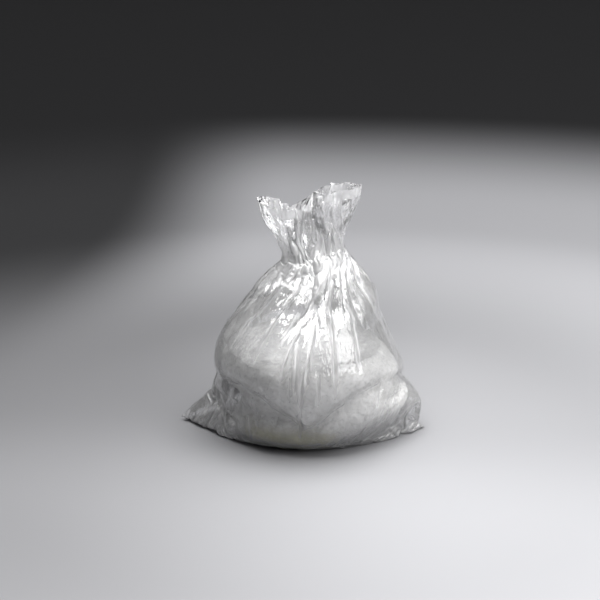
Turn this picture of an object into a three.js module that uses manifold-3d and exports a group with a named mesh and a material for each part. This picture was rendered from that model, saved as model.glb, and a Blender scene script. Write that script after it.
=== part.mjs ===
// A filled clear film rubbish bag that stands on its own base, in millimetres, +Z up.
// The seam under the base runs along X, and the origin is the middle of that seam on the floor.
// Two pieces: the film bag, open at its gathered mouth, and the loose filling that lies in it.
import * as THREE from "three";
import { mergeVertices } from "three/addons/utils/BufferGeometryUtils.js";
import Module from "manifold-3d";

const wasm = await Module();
wasm.setup();

// Film as sold: a tube laid flat, sealed across the bottom
const FLAT_WIDTH = 610;
const FILM_WALL = 2.5; // stands in for film a few hundredths of a millimetre thick

// Base on the floor: two arcs of film between the pointed corners
const BASE_ARC = 60; // half the angle of each arc, degrees
const EAR_FLAT = 24; // length of each corner where the two layers lie pressed together

// Heights of the hoops above the floor, on the left side and on the right side
const EAR_HEIGHT = 24;
const LEFT_EAR_TOP = 60;
const RIGHT_EAR_TOP = 84;
const WAIST_HEIGHT = 102;
const BELLY_LOW_HEIGHT = 126;
const BELLY_HEIGHT = 162;
const UPPER_BELLY_HEIGHT = 208;
const SHOULDER_HEIGHT = 267;
const HIGH_SHOULDER_HEIGHT = 322;
const LEFT_NECK_HEIGHT = 349;
const RIGHT_NECK_HEIGHT = 376;
const LEFT_THROAT_HEIGHT = 388;
const RIGHT_THROAT_HEIGHT = 409;
const LEFT_RIM_HEIGHT = 465;
const RIGHT_RIM_HEIGHT = 500;
const RIM_NOTCH = 26; // dip of the rim between its two lobes

// Widths of the hoops, and how far the middle of each stands to the right of the origin
const BELLY_WIDTH = 370;
const BELLY_SHIFT = 9;
const WAIST_WIDTH = 384;
const WAIST_SHIFT = 16;
const SHOULDER_WIDTH = 272;
const SHOULDER_DEPTH = 268;
const SHOULDER_SHIFT = 18;
const HIGH_SHOULDER_WIDTH = 194;
const HIGH_SHOULDER_DEPTH = 164;
const HIGH_SHOULDER_SHIFT = 29;
const NECK_WIDTH = 126;
const NECK_DEPTH = 68;
const NECK_SHIFT = 26;
const THROAT_WIDTH = 140;
const THROAT_DEPTH = 66;
const THROAT_SHIFT = 20;
const MOUTH_WIDTH = 196;
const MOUTH_DEPTH = 88;
const MOUTH_SHIFT = 14;

// Pleats of the gathered film
const PLEATS = 12;
const NECK_PLEAT = 0.1; // height of a pleat as a share of the hoop's radius there

// Creases pressed into the belly where it folds over the base: the angle round the bag in degrees, -90 being the
// front, and the height of each turn of their lines
const CREASES = [
  [[-155, 128], [-128, 138], [-113, 128], [-104, 110], [-95, 88], [-88, 70], [-82, 64]],
  [[-94, 60], [-88, 66], [-77, 88], [-61, 118], [-45, 134], [-27, 134]],
  [[22, 122], [40, 138], [58, 136], [79, 106], [97, 78]],
  [[83, 70], [97, 84], [119, 118], [144, 136], [166, 122]],
];
const CREASE_DEPTH = 13;
const CREASE_ABOVE = 12; // reach above the line
const CREASE_BELOW = 30; // reach below the line
const CREASE_END = 8; // degrees over which a crease dies out

// Loose filling
const FILL_HEIGHT = 182; // where its top meets the film
const FILL_DOME = 8; // rise of its top above that
const FILL_CLEARANCE = 0.6;
const LUMP_DEPTH = 9; // of the hollows between its scraps
const LUMP_SPAN = 11; // a scrap and the hollow beside it take 2 pi times this
const LUMP_DRIFT = 1.2; // how far the rows of scraps wander
const LUMP_DRIFT_SPANS = [29, 33, 31];
const LUMP_FREE_FLOOR = [12, 34]; // heights between which the hollows grow

// Facets
const COLUMNS = 72;
const ROWS = 33;
const DOME_ROWS = 7;

// Corner form: 0.5 makes a hoop an ellipse, 1 makes it a lens with pointed ends, more makes thin ears
const ROUND = 0.5;
const LENS = 1;
const THIN_EAR = 1.3;

const baseArc = THREE.MathUtils.degToRad(BASE_ARC);
const baseWidth = (FLAT_WIDTH * Math.sin(baseArc)) / baseArc;
const baseDepth = (FLAT_WIDTH * (1 - Math.cos(baseArc))) / baseArc;
// The film is taut at the belly, so its girth there is twice the flat width
const bellyDepth = (4 * FLAT_WIDTH) / Math.PI - BELLY_WIDTH;
const waistDepth = (4 * FLAT_WIDTH) / Math.PI - WAIST_WIDTH;

// One hoop round the bag: its left and right ends, its depth front to back, its corner form and its pleats.
function hoop(width, shift, leftHeight, rightHeight, depth, corner, pleat) {
  return { left: shift - width / 2, right: shift + width / 2, leftHeight, rightHeight, depth, corner, pleat };
}

function between(low, high, share) {
  return low + (high - low) * share;
}

const HOOPS = [
  hoop(baseWidth, 0, 0, 0, baseDepth, LENS, 0),
  hoop(between(baseWidth, WAIST_WIDTH, 0.12), BELLY_SHIFT / 2, EAR_HEIGHT * 0.8, EAR_HEIGHT,
    between(baseDepth, waistDepth, 0.45), THIN_EAR, 0),
  hoop(between(baseWidth, WAIST_WIDTH, 0.5), WAIST_SHIFT, LEFT_EAR_TOP, RIGHT_EAR_TOP,
    between(baseDepth, waistDepth, 0.8), LENS, 0),
  hoop(WAIST_WIDTH, WAIST_SHIFT, between(LEFT_EAR_TOP, WAIST_HEIGHT, 0.7), WAIST_HEIGHT, waistDepth,
    between(ROUND, LENS, 0.2), 0),
  hoop(between(WAIST_WIDTH, BELLY_WIDTH, 0.5), WAIST_SHIFT, BELLY_LOW_HEIGHT, BELLY_LOW_HEIGHT, waistDepth, ROUND, 0),
  hoop(BELLY_WIDTH, BELLY_SHIFT, BELLY_HEIGHT, BELLY_HEIGHT, bellyDepth, ROUND, 0),
  hoop(between(BELLY_WIDTH, SHOULDER_WIDTH, 0.4), BELLY_SHIFT, UPPER_BELLY_HEIGHT, UPPER_BELLY_HEIGHT,
    between(bellyDepth, SHOULDER_DEPTH, 0.35), ROUND, NECK_PLEAT * 0.1),
  hoop(SHOULDER_WIDTH, SHOULDER_SHIFT, SHOULDER_HEIGHT, SHOULDER_HEIGHT, SHOULDER_DEPTH, ROUND, NECK_PLEAT * 0.3),
  hoop(HIGH_SHOULDER_WIDTH, HIGH_SHOULDER_SHIFT, HIGH_SHOULDER_HEIGHT, HIGH_SHOULDER_HEIGHT, HIGH_SHOULDER_DEPTH,
    ROUND, NECK_PLEAT * 0.7),
  hoop(NECK_WIDTH, NECK_SHIFT, LEFT_NECK_HEIGHT, RIGHT_NECK_HEIGHT, NECK_DEPTH, ROUND, NECK_PLEAT),
  hoop(THROAT_WIDTH, THROAT_SHIFT, LEFT_THROAT_HEIGHT, RIGHT_THROAT_HEIGHT, THROAT_DEPTH, ROUND, NECK_PLEAT),
  hoop(MOUTH_WIDTH, MOUTH_SHIFT, LEFT_RIM_HEIGHT, RIGHT_RIM_HEIGHT, MOUTH_DEPTH, ROUND, NECK_PLEAT),
];

// A smooth curve through one triple of numbers of every hoop, by place along the bag from 0 at the floor to 1 at the rim.
function alongBag(triple) {
  const points = HOOPS.map((h) => new THREE.Vector3(...triple(h)));
  return new THREE.CatmullRomCurve3(points, false, "catmullrom", 0.5);
}

const leftSide = alongBag((h) => [h.left, 0, h.leftHeight]);
const rightSide = alongBag((h) => [h.right, 0, h.rightHeight]);
const form = alongBag((h) => [h.depth, h.corner, h.pleat]);
const throatPlace = (HOOPS.length - 2) / (HOOPS.length - 1);

// Depth of the belly's creases at an angle round the bag and a height.
function creaseDent(angle, height) {
  const turn = THREE.MathUtils.radToDeg(Math.atan2(Math.sin(angle), Math.cos(angle)));
  const dents = CREASES.map((line) => {
    const next = line.findIndex(([at]) => at >= turn);
    if (next < 1) return 0;
    const [fromAngle, fromHeight] = line[next - 1];
    const [toAngle, toHeight] = line[next];
    const away = height - between(fromHeight, toHeight, (turn - fromAngle) / (toAngle - fromAngle));
    const fromStart = THREE.MathUtils.smoothstep(turn - line[0][0], 0, CREASE_END);
    const fromFinish = THREE.MathUtils.smoothstep(line.at(-1)[0] - turn, 0, CREASE_END);
    const reach = away > 0 ? CREASE_ABOVE : CREASE_BELOW;
    return CREASE_DEPTH * fromStart * fromFinish * Math.exp(-((away / reach) ** 2));
  });
  return Math.max(...dents);
}

// The point of the bag at a place along it and an angle round it, set inwards from the film's outer face by inset
// and, near the floor, raised by lift.
function bagPoint(place, angle, inset, lift) {
  const left = leftSide.getPoint(place);
  const right = rightSide.getPoint(place);
  const { x: depth, y: corner, z: pleat } = form.getPoint(place);
  const pointed = THREE.MathUtils.smoothstep(corner, ROUND, LENS);
  const endInset = inset > 0 ? inset + EAR_FLAT * pointed : 0;
  const halfWidth = (right.x - left.x) / 2 - endInset;
  const ripple = 1 + pleat * Math.cos(PLEATS * angle);
  const across = Math.cos(angle);
  const out = Math.sin(angle);
  const middle = (left.x + right.x) / 2;
  const mouthward = THREE.MathUtils.smoothstep(place, throatPlace, 1);
  const notch = (RIM_NOTCH * mouthward * (1 + Math.cos(Math.PI * across))) / 2;
  const floorLift = lift * (1 - THREE.MathUtils.smoothstep(place, 0, 1 / HOOPS.length));
  const x = across * halfWidth * ripple;
  const y = Math.sign(out) * Math.abs(out) ** (2 * corner) * (depth / 2 - inset) * ripple;
  const z = between(left.z, right.z, (1 + across) / 2) - notch + floorLift;
  const dented = 1 - creaseDent(angle, z) / Math.hypot(x, y);
  return new THREE.Vector3(middle + x * dented, y * dented, z);
}

// A closed solid through rings of points, each of COLUMNS points, with a fan over its first and last ring.
function loft(rings) {
  const points = rings.flat();
  const middleOf = (ring) => ring.reduce((sum, p) => sum.add(p), new THREE.Vector3()).divideScalar(ring.length);
  const floorMiddle = points.push(middleOf(rings[0])) - 1;
  const topMiddle = points.push(middleOf(rings.at(-1))) - 1;
  const faces = [];
  const lastRing = (rings.length - 1) * COLUMNS;
  for (let column = 0; column < COLUMNS; column++) {
    const next = (column + 1) % COLUMNS;
    for (let start = 0; start < lastRing; start += COLUMNS) {
      faces.push(start + column, start + next, start + COLUMNS + next);
      faces.push(start + column, start + COLUMNS + next, start + COLUMNS + column);
    }
    faces.push(floorMiddle, next, column);
    faces.push(topMiddle, lastRing + column, lastRing + next);
  }
  const geometry = new THREE.BufferGeometry().setFromPoints(points);
  return geometry.setIndex(faces);
}

function toSolid(geometry) {
  const merged = mergeVertices(geometry, 1e-3);
  return new wasm.Manifold(new wasm.Mesh({
    numProp: 3,
    vertProperties: merged.attributes.position.array,
    triVerts: new Uint32Array(merged.index.array),
  }));
}

function toGeometry(solid) {
  const { vertProperties, triVerts } = solid.getMesh();
  const geometry = new THREE.BufferGeometry();
  geometry.setAttribute("position", new THREE.BufferAttribute(vertProperties, 3));
  geometry.setIndex(new THREE.BufferAttribute(triVerts, 1));
  return geometry;
}

function ring(place, inset, lift) {
  const angles = Array.from({ length: COLUMNS }, (_, i) => (2 * Math.PI * i) / COLUMNS);
  return angles.map((angle) => bagPoint(place, angle, inset, lift));
}

const places = Array.from({ length: ROWS + 1 }, (_, i) => i / ROWS);

// The film: the bag's outer shape less the space inside it, which runs out through the mouth.
function filmBag() {
  const outside = places.map((place) => ring(place, 0, 0));
  const inside = places.map((place) => ring(place, FILM_WALL, FILM_WALL));
  const rim = inside.at(-1);
  const aboveRim = rim.map((p) => new THREE.Vector3(p.x, p.y, RIGHT_RIM_HEIGHT + RIM_NOTCH));
  return toGeometry(toSolid(loft(outside)).subtract(toSolid(loft([...inside, aboveRim]))));
}

// Depth of the hollows between the filling's scraps at a point of its skin: three crossing waves that wander.
function hollow({ x, y, z }) {
  const drift = [z, x, y].map((along, i) => LUMP_DRIFT * Math.sin(along / LUMP_DRIFT_SPANS[i]));
  const waves = [x, y, z].map((along, i) => Math.cos(along / LUMP_SPAN + drift[i]));
  return (LUMP_DEPTH * (1 - (waves[0] + waves[1] + waves[2]) / 3)) / 2;
}

// A ring of the filling with its hollows pressed in: inwards at the side, and down where rise is a right angle.
function pressed(points, rise) {
  const middle = points.reduce((sum, p) => sum.add(p), new THREE.Vector3()).divideScalar(points.length);
  return points.map((p) => {
    const depth = hollow(p) * THREE.MathUtils.smoothstep(p.z, ...LUMP_FREE_FLOOR);
    const inwards = middle.clone().sub(p).setZ(0).normalize().multiplyScalar(Math.cos(rise));
    return p.clone().addScaledVector(inwards.setZ(-Math.sin(rise)), depth);
  });
}

// The filling: the lower part of the space inside the film, with a low dome for its top.
function filling() {
  const inset = FILM_WALL + 2 * FILL_CLEARANCE;
  const lift = FILM_WALL + FILL_CLEARANCE;
  const meanHeight = (place) => (leftSide.getPoint(place).z + rightSide.getPoint(place).z) / 2;
  const filled = places.filter((place) => meanHeight(place) <= FILL_HEIGHT).map((place) => ring(place, inset, lift));
  const topRing = filled.at(-1);
  const middle = topRing.reduce((sum, p) => sum.add(p), new THREE.Vector3()).divideScalar(COLUMNS);
  const dome = Array.from({ length: DOME_ROWS }, (_, i) => {
    const inward = (i + 1) / (DOME_ROWS + 1);
    const rise = THREE.MathUtils.smoothstep(inward * 3, 0, 1) * (Math.PI / 2);
    const points = topRing.map((p) => p.clone().lerp(middle, inward).setZ(p.z + FILL_DOME * Math.sin(rise)));
    return pressed(points, rise);
  });
  return loft([...filled.map((points) => pressed(points, 0)), ...dome]);
}

function piece(name, geometry, color, roughness) {
  const mesh = new THREE.Mesh(geometry, new THREE.MeshStandardMaterial({ color, roughness, metalness: 0 }));
  mesh.name = name;
  return mesh;
}

const bag = new THREE.Group();
bag.name = "garbage_bag";
bag.add(piece("film_bag", filmBag(), 0xd3d4d8, 0.22));
bag.add(piece("loose_filling", filling(), 0xa6a6a2, 0.8));

export default bag;
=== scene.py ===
"""Clear plastic garbage bag, gathered at the neck round its loose filling, in a plain grey studio."""
from __future__ import annotations

import logging
import math
from dataclasses import dataclass
from enum import Enum
from typing import Callable, Sequence

import bpy
import numpy as np
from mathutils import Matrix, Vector


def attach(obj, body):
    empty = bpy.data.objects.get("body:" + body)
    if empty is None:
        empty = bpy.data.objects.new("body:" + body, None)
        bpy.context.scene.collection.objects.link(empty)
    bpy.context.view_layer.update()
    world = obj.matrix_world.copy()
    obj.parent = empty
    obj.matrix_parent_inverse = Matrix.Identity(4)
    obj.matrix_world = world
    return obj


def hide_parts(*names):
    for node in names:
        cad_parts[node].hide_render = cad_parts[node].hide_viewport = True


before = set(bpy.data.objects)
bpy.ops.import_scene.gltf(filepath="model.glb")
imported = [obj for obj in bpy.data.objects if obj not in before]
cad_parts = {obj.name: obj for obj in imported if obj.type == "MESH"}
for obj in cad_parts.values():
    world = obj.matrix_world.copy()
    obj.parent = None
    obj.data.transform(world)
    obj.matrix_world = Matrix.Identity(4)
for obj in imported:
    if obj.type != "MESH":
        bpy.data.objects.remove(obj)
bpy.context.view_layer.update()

LOG = logging.getLogger("garbage_bag")
MM = 0.001
TURN = 2 * math.pi


# Plain helpers on arrays


def ease(t: np.ndarray | float) -> np.ndarray:
    """Smooth step 3 t^2 - 2 t^3 from 0 to 1, with t held in that range."""
    t = np.clip(t, 0, 1)
    return t * t * (3 - 2 * t)


def round_gap(a: np.ndarray, b: np.ndarray | float) -> np.ndarray:
    """Shortest distance between two shares of a closed loop of length 1."""
    gap = np.abs(a - b)
    return np.minimum(gap, 1 - gap)


@dataclass
class Noise:
    """Smooth and faceted noise in space, from one seeded lattice of random numbers.

    Attributes:
        seed: Seed of the lattice.
        size: Cells along each side of the lattice before it repeats.
    """

    seed: int
    size: int = 32

    def __post_init__(self) -> None:
        """Draws the lattice and the jitter of its points."""
        rng = np.random.default_rng(self.seed)
        self.lattice = rng.uniform(-1, 1, (self.size,) * 3)
        self.jitter = rng.uniform(0.05, 0.95, (self.size, self.size, self.size, 3))

    def smooth(self, points: np.ndarray, cell: float) -> np.ndarray:
        """Lattice noise, blended between corners with the weight t^3 (6 t^2 - 15 t + 10).

        Args:
            points: Places in metres, three in the first axis.
            cell: Distance between lattice corners in metres.

        Returns:
            About -1 to 1 at each place.
        """
        place = points / cell
        low = np.floor(place).astype(int)
        part = place - low
        part = part ** 3 * (part * (part * 6 - 15) + 10)
        total = np.zeros(points.shape[1:])
        for corner in np.ndindex(2, 2, 2):
            share = np.ones(points.shape[1:])
            for axis, step in enumerate(corner):
                share = share * (part[axis] if step else 1 - part[axis])
            index = tuple((low[axis] + corner[axis]) % self.size for axis in range(3))
            total += share * self.lattice[index]
        return total

    def layered(self, points: np.ndarray, cell: float, octaves: int) -> np.ndarray:
        """Sum of smooth noise at cell, cell/2, cell/4 and so on, each half as strong as the one before it.

        Args:
            points: Places in metres, three in the first axis.
            cell: Widest cell in metres.
            octaves: Number of layers.

        Returns:
            About -1 to 1 at each place.
        """
        total = np.zeros(points.shape[1:])
        for octave in range(octaves):
            shift = 7.31 * cell * octave
            total += 0.5 ** octave * self.smooth(points + shift, cell / 2 ** octave)
        return total

    def cells(self, points: np.ndarray, cell: float) -> tuple[np.ndarray, np.ndarray]:
        """Distances to the nearest and second nearest jittered lattice point, in cells.

        Args:
            points: Places in metres, three in the first axis.
            cell: Mean distance between the points in metres.

        Returns:
            The two distances at each place.
        """
        place = points / cell
        low = np.floor(place).astype(int)
        first = np.full(points.shape[1:], 9.0)
        second = np.full(points.shape[1:], 9.0)
        for step in np.ndindex(3, 3, 3):
            index = [low[axis] + step[axis] - 1 for axis in range(3)]
            seat = self.jitter[tuple(i % self.size for i in index)]
            away = sum((index[axis] + seat[..., axis] - place[axis]) ** 2 for axis in range(3))
            away = np.sqrt(away)
            second = np.minimum(second, np.maximum(first, away))
            first = np.minimum(first, away)
        return first, second


# The film's cut and the form that it fills


@dataclass(frozen=True)
class FilmCut:
    """The flat tube of film that the bag is made from, in metres.

    Attributes:
        width: Width laid flat, half the girth.
        length: From the bottom seam to the rim.
    """

    width: float = 0.610
    length: float = 0.700

    @property
    def girth(self) -> float:
        """Film round the tube through both layers."""
        return 2 * self.width


@dataclass(frozen=True)
class Groove:
    """A crease pressed into the bag's form.

    Attributes:
        path: Places along it, each a share of the girth and a height in millimetres.
        depth: Depth in millimetres.
        above: Reach above the line in millimetres.
        below: Reach below the line in millimetres.
    """

    path: tuple[tuple[float, float], ...]
    depth: float
    above: float
    below: float

    def dent(self, share: np.ndarray, heights: np.ndarray) -> np.ndarray:
        """Depth of the crease, depth exp(-(away / reach)^2), tapered to its two ends.

        Args:
            share: Shares of the girth.
            heights: Heights in metres.

        Returns:
            Depth in metres by height and share.
        """
        path = np.array(self.path)
        line = np.interp(share, path[:, 0], path[:, 1]) * MM
        closed = path[0, 0] == 0 and path[-1, 0] == 1
        ends = 1.0 if closed else ease((share - path[0, 0]) / 0.02) * ease((path[-1, 0] - share) / 0.02)
        away = heights[:, None] - line[None, :]
        reach = np.where(away > 0, self.above, self.below) * MM
        return self.depth * MM * ends * np.exp(-((away / reach) ** 2))


# Share 0 is the left corner, 0.25 the front, 0.5 the right corner and 0.75 the back
GROOVES = (
    Groove(((0.0, 112), (0.02, 116), (0.06, 124), (0.10, 130)), 6, 8, 14),
    Groove(((0.07, 126), (0.138, 134), (0.179, 121), (0.203, 102), (0.226, 81), (0.245, 64), (0.262, 58)),
           15, 8, 30),
    Groove(((0.226, 56), (0.247, 62), (0.283, 86), (0.331, 118), (0.375, 134), (0.424, 134)), 14, 8, 28),
    Groove(((0.40, 138), (0.45, 130), (0.5, 112), (0.53, 104)), 6, 7, 12),
    Groove(((0.56, 122), (0.61, 138), (0.66, 136), (0.72, 106), (0.77, 78)), 12, 8, 26),
    Groove(((0.73, 70), (0.77, 84), (0.83, 118), (0.9, 136), (0.96, 122)), 11, 8, 26),
    Groove(((0.290, 88), (0.322, 104), (0.361, 115), (0.406, 116)), 8, 6, 12),
    Groove(((0.16, 118), (0.195, 98), (0.225, 74), (0.245, 56)), 5, 6, 12),
    Groove(((0.015, 57), (0.061, 63), (0.101, 51), (0.141, 40)), 7, 6, 10),
    Groove(((0.393, 99), (0.4255, 101), (0.47, 100)), 6, 5, 8),
    Groove(((0.10, 110), (0.135, 86), (0.18, 66)), 4, 7, 10),
    Groove(((0.79, 60), (0.84, 76), (0.9, 70)), 5, 6, 10),
    Groove(((0.60, 62), (0.65, 80), (0.7, 70)), 5, 6, 10),
    Groove(((0.175, 177), (0.208, 168), (0.233, 176), (0.262, 185), (0.288, 190), (0.33, 191), (0.385, 188)),
           2.5, 5, 4),
)


@dataclass
class Pleats:
    """The inward folds that gather the film below, at and above the neck.

    Attributes:
        seed: Seed of the folds that the picture doesn't fix.
        count: Number of folds round the bag.
        front: Folds of the front, each a share of the girth and the height in metres where it starts.
        mouth: Shares of the girth where a fold runs on up to the rim.
    """

    seed: int
    count: int = 30
    front: tuple[tuple[float, float], ...] = (
        (0.062, 0.285), (0.100, 0.255), (0.130, 0.300), (0.160, 0.262), (0.188, 0.290), (0.213, 0.262),
        (0.244, 0.228), (0.310, 0.236), (0.350, 0.290), (0.385, 0.250), (0.430, 0.265), (0.470, 0.300))
    mouth: tuple[float, ...] = (0.03, 0.15, 0.213, 0.244, 0.334, 0.43, 0.50, 0.60, 0.68, 0.77, 0.86, 0.94)

    def __post_init__(self) -> None:
        """Places the front's folds and draws the others behind them."""
        rng = np.random.default_rng(self.seed)
        rest = self.count - len(self.front)
        widths = rng.uniform(0.6, 1.4, rest)
        behind = 0.49 + 0.55 * (np.cumsum(widths) - widths / 2) / widths.sum()
        front = np.array(self.front)
        self.share = np.r_[front[:, 0], behind % 1]
        self.start = np.r_[front[:, 1], rng.uniform(0.225, 0.315, rest)]
        self.strength = np.r_[rng.uniform(0.8, 1.25, len(front)), rng.uniform(0.5, 1.3, rest)]
        self.side = rng.choice([-1.0, 1.0], self.count)
        self.lasts = np.zeros(self.count)
        for share in self.mouth:
            self.lasts[np.argmin(round_gap(self.share, share))] = 1.0

    def weights(self, height: float) -> np.ndarray:
        """How strongly each fold shows at a height: it grows over 70 mm, and many fade towards the mouth."""
        grown = ease((height - self.start) / 0.07)
        mouth = ease((height - 0.375) / 0.10)
        return self.strength * grown * np.where(self.lasts > 0, 1 + 0.5 * mouth, 1 - 0.85 * mouth)


class Wall(Enum):
    """The tables of the mould's radius."""

    OUTER = "outer"
    PLAIN = "plain"
    CORE = "core"


@dataclass
class Mould:
    """The bag's form as a radius by angle and height, about a middle line that shifts with the height.

    A level's ring is x = a cos t, y = b sign(sin t) |sin t|^(2 c): an ellipse at c = 0.5, and a lens with
    pointed ends at c = 1. Creases and the valleys of the pleats are taken off its radius.

    Attributes:
        cut: The film's flat tube.
        pleats: The folds that gather it.
        fill_top: Height of the filling's top edge.
        parting: x, half width and depth, as a share of the ring's, of the dip between the mouth's lobes.
        slack: How far inside the outer wall the film may lie over the filling.
        base_half: Half width of the filling's base in x, and how much more it is on the right.
        stations: Height, left end, right end, depth in millimetres, and c, level by level.
        levels: Heights in the tables.
        angles: Angles in the tables.
        shares: Places round each ring.
    """

    cut: FilmCut
    pleats: Pleats
    fill_top: float = 0.186
    parting: tuple[float, float, float] = (0.014, 0.018, 0.55)
    slack: float = 0.005
    base_half: tuple[float, float] = (0.172, 0.02)
    stations: tuple[tuple[float, ...], ...] = (
        (0, -252, 252, 240, 1.0), (14, -247, 252, 300, 1.25), (30, -234, 250, 340, 1.3),
        (48, -214, 249, 366, 1.2), (62, -200, 249, 374, 1.05), (72, -190, 248, 380, 1.0),
        (84, -183, 244, 384, 0.9), (93, -179, 226, 388, 0.7), (104, -174, 208, 392, 0.55),
        (122, -170, 207, 398, 0.5), (144, -174, 200, 404, 0.5), (165, -176, 190, 405, 0.5),
        (182, -171, 184, 398, 0.5), (207, -157, 172, 374, 0.5), (240, -132, 157, 324, 0.5),
        (265, -116, 156, 282, 0.5), (282, -104, 153, 250, 0.5), (300, -90, 143, 210, 0.5),
        (318, -72, 131, 164, 0.5), (335, -53, 119, 130, 0.5), (347, -40, 108, 110, 0.5),
        (360, -37, 94, 96, 0.5), (372, -42, 87, 86, 0.5), (385, -50, 86, 80, 0.5),
        (400, -60, 89, 78, 0.5), (420, -71, 94, 82, 0.5), (446, -81, 103, 92, 0.5),
        (465, -87, 112, 100, 0.5), (500, -92, 117, 108, 0.5))
    levels: int = 201
    angles: int = 1080
    shares: int = 1440

    def __post_init__(self) -> None:
        """Works out the rings and the three radius tables."""
        table = np.array(self.stations)
        table[:, :4] *= MM
        self.heights = np.linspace(0, table[-1, 0], self.levels)
        kernel = np.array([1, 3, 5, 3, 1]) / 13
        smoothed = []
        for k in range(1, 5):
            straight = np.interp(self.heights, table[:, 0], table[:, k])
            smoothed.append(np.convolve(np.pad(straight, 2, mode="edge"), kernel, "valid"))
        self.left, self.right, self.depth, self.corner = smoothed
        self.left[0], self.right[0] = table[0, 1], table[0, 2]
        self.middle = (self.left + self.right) / 2
        self.share = np.linspace(0, 1, self.shares, endpoint=False)
        self.x, self.y, self.ring = self.rings()
        self.spare = np.maximum(0, self.cut.girth - self.ring)
        dent = np.max([groove.dent(self.share, self.heights) for groove in GROOVES], axis=0)
        dent = dent + self.valleys() + self.unevenness()
        self.tables = {Wall.PLAIN: self.by_angle(np.zeros_like(dent)), Wall.OUTER: self.by_angle(dent)}
        self.tables[Wall.CORE] = self.core()

    def rings(self) -> tuple[np.ndarray, np.ndarray, np.ndarray]:
        """Each level's ring, spaced evenly along its own length.

        Above the neck the ring's depth dips by exp(-(away / half width)^2) where the mouth's lobes part.

        Returns:
            x from the middle line, y, and the ring's length, by level.
        """
        turn = np.linspace(-np.pi, np.pi, 2881)
        dip_x, dip_width, dip_share = self.parting
        x = np.empty((self.levels, self.shares))
        y = np.empty((self.levels, self.shares))
        ring = np.empty(self.levels)
        for k, height in enumerate(self.heights):
            half = (self.right[k] - self.left[k]) / 2
            across = half * np.cos(turn)
            out = np.sign(np.sin(turn)) * np.abs(np.sin(turn)) ** (2 * self.corner[k]) * self.depth[k] / 2
            split = ease((height - 0.375) / 0.05)
            out *= 1 - dip_share * split * np.exp(-(((across + self.middle[k] - dip_x) / dip_width) ** 2))
            length = np.r_[0, np.cumsum(np.hypot(np.diff(across), np.diff(out)))]
            ring[k] = length[-1]
            x[k] = np.interp(self.share, length / length[-1], across)
            y[k] = np.interp(self.share, length / length[-1], out)
        return x, y, ring

    def unevenness(self) -> np.ndarray:
        """Slight hollows all over the form, a few millimetres deep, as film over loose filling has."""
        height = np.broadcast_to(self.heights[:, None], self.x.shape)
        points = np.stack([self.x, self.y, height])
        rough = Noise(5).layered(points, 0.085, 2)
        body = ease(self.heights / 0.03)[:, None] * (1 - ease((self.heights - 0.3) / 0.05))[:, None]
        return 0.0035 * np.maximum(0, rough + 0.3) * body

    def folded(self, level: int, share: np.ndarray) -> tuple[np.ndarray, np.ndarray, np.ndarray]:
        """Where film lies on a level's ring once the pleats have taken in what the ring has no room for.

        Args:
            level: Index of the level.
            share: Shares of the film's girth.

        Returns:
            Share of the ring, depth into a pleat in metres, and the side that pleat leans to.
        """
        weight = self.pleats.weights(float(self.heights[level]))
        taken = self.spare[level] / self.cut.girth * weight / max(weight.sum(), 9.0)
        fine = np.linspace(0, 1, 4801)
        density = np.ones(fine.size)
        depth = np.zeros(fine.size)
        side = np.zeros(fine.size)
        for centre, width, lean in zip(self.pleats.share, taken, self.pleats.side):
            away = round_gap(fine, centre)
            inside = away < width / 2
            density[inside] = 0.06
            deeper = (width / 2 - away) * self.cut.girth > depth
            side[deeper] = lean
            depth = np.maximum(depth, (width / 2 - away) * self.cut.girth)
        run = np.r_[0, np.cumsum((density[1:] + density[:-1]) / 2)]
        on = np.interp(share, fine, run / run[-1])
        return on, np.interp(share, fine, depth), np.interp(share, fine, side)

    def valleys(self) -> np.ndarray:
        """Valleys in the form along the pleats, which leave the film between them rounded.

        A valley is 0.34 of the pleats' spacing deep, less at the mouth, and falls off as
        exp(-away / (0.22 spacing)).
        """
        dent = np.zeros((self.levels, self.shares))
        for k, height in enumerate(self.heights):
            weight = self.pleats.weights(float(height)) * ease(self.spare[k] / 0.08)
            if weight.sum() < 1e-6:
                continue
            centres = self.folded(k, self.pleats.share)[0]
            spacing = self.ring[k] / max(weight.sum(), 8)
            mouth = ease((height - 0.375) / 0.04)
            for centre, strong in zip(centres, weight):
                away = round_gap(self.share, centre) * self.ring[k]
                valley = 0.34 * spacing * min(strong, 1.0) * (1 - 0.6 * mouth)
                dent[k] = np.maximum(dent[k], valley * np.exp(-away / (0.22 * spacing)))
        return dent

    def by_angle(self, dent: np.ndarray) -> np.ndarray:
        """Radius of the rings less a dent, by height and angle."""
        reach = np.hypot(self.x, self.y) - dent
        around = np.arctan2(self.y, self.x)
        grid = np.linspace(-np.pi, np.pi, self.angles, endpoint=False)
        return np.stack([
            np.interp(grid, np.sort(around[k]), reach[k][np.argsort(around[k])], period=TURN)
            for k in range(self.levels)])

    def core(self) -> np.ndarray:
        """Least radius the film may take: the filling low down, and the deepest pleats above it.

        Below the belly it is held inside an ellipse, so that the film at the base's two corners lies empty.
        """
        fold = self.spare / 22 + 0.006
        above = ease((self.heights - self.fill_top + 0.01) / 0.02)
        allowed = self.slack * (1 - above) + fold * above
        core = self.tables[Wall.OUTER] - allowed[:, None]
        angle = np.linspace(-np.pi, np.pi, self.angles, endpoint=False)
        half = self.base_half[0] + self.base_half[1] * np.cos(angle)
        deep = self.depth[:, None] / 2
        oval = 1 / np.sqrt((np.cos(angle) / half)[None, :] ** 2 + (np.sin(angle)[None, :] / deep) ** 2)
        low = ease((0.12 - self.heights) / 0.02)[:, None]
        core = core * (1 - low) + np.minimum(core, oval) * low
        return np.maximum(core, self.tables[Wall.PLAIN] * 0.2)

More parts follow.
